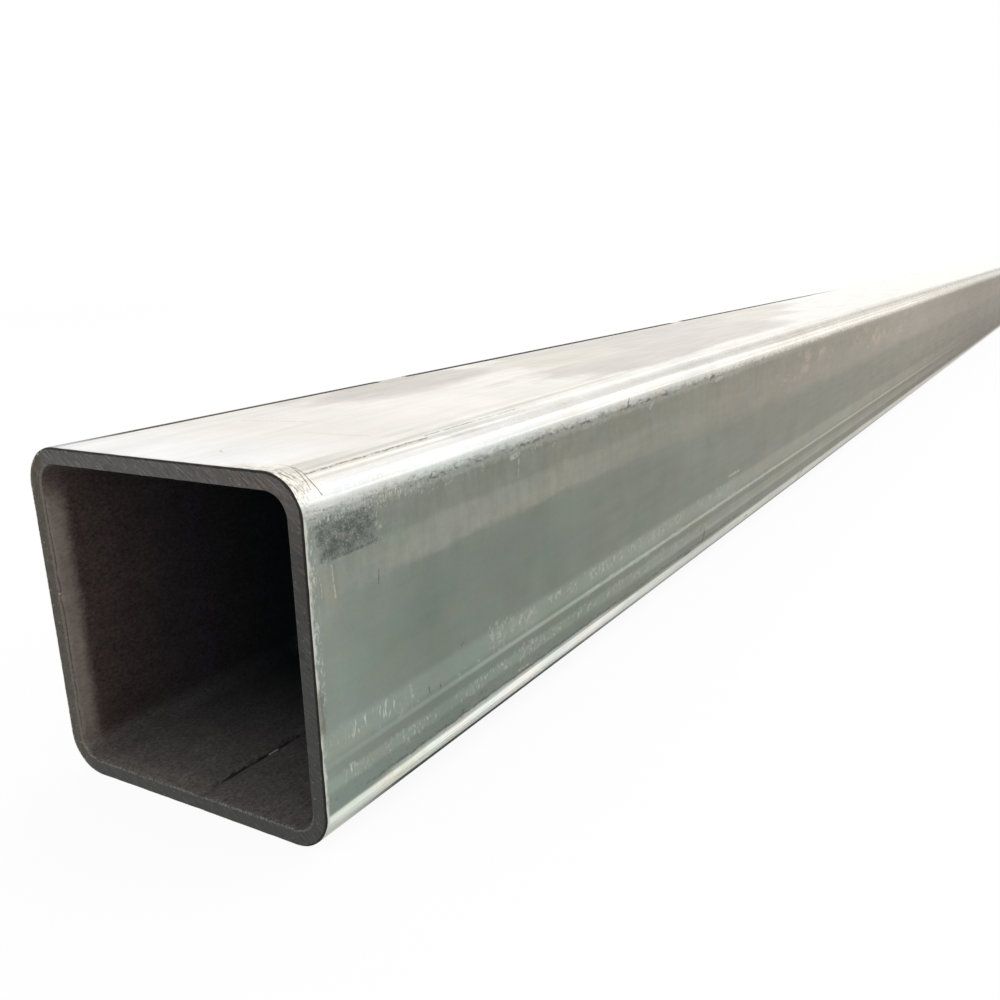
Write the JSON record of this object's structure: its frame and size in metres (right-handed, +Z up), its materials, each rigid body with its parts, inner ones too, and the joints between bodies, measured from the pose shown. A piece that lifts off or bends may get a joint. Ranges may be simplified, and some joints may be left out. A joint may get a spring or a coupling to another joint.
{
  "type": "square steel tube",
  "caption": "Square hollow steel section with rounded corners, open sawn ends and a weld bead along the inside, sold as raw stock for frames and posts.",
  "frame": {"origin": "on the floor, under the middle of the tube's length and width", "axes": "+X along the tube, +Z up out of its top wall, +Y across it; the weld runs inside the bottom wall, a little to the -Y side of the middle"},
  "size_m": [3, 0.1, 0.1],
  "materials": {
    "mill_steel": "bare mill finish, satin, with roll marks and handling scratches"
  },
  "bodies": {
    "root": {"square_tube": "mill_steel"}
  },
  "joints": []
}
